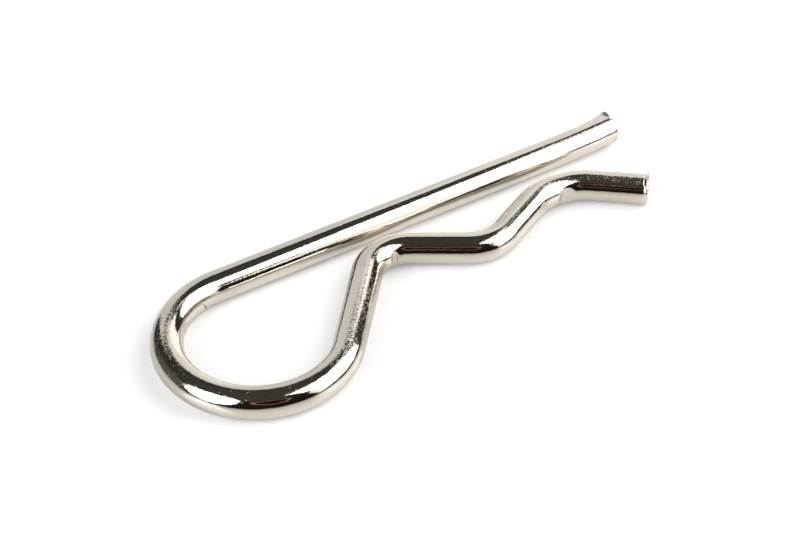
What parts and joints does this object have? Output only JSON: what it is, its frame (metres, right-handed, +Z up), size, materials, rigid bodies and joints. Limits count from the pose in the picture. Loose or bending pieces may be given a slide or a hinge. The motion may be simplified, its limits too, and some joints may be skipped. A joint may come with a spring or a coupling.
{
  "type": "r-clip",
  "caption": "Spring clip bent from one round wire: a straight leg for a cross-drilled shaft, an open loop, and a waved leg that snaps round the shaft.",
  "frame": {"origin": "on the surface that the clip lies on, under the middle of its outline", "axes": "+X along the straight leg, towards its cut end; +Z up, across the flat of the clip; the waved leg lies on the -Y side of the straight leg"},
  "size_m": [0.0543, 0.0194, 0.0032],
  "materials": {
    "nickel_plate": "bright nickel plate over spring steel, with fine pits and bending marks"
  },
  "bodies": {
    "root": {"clip": "nickel_plate"}
  },
  "joints": []
}
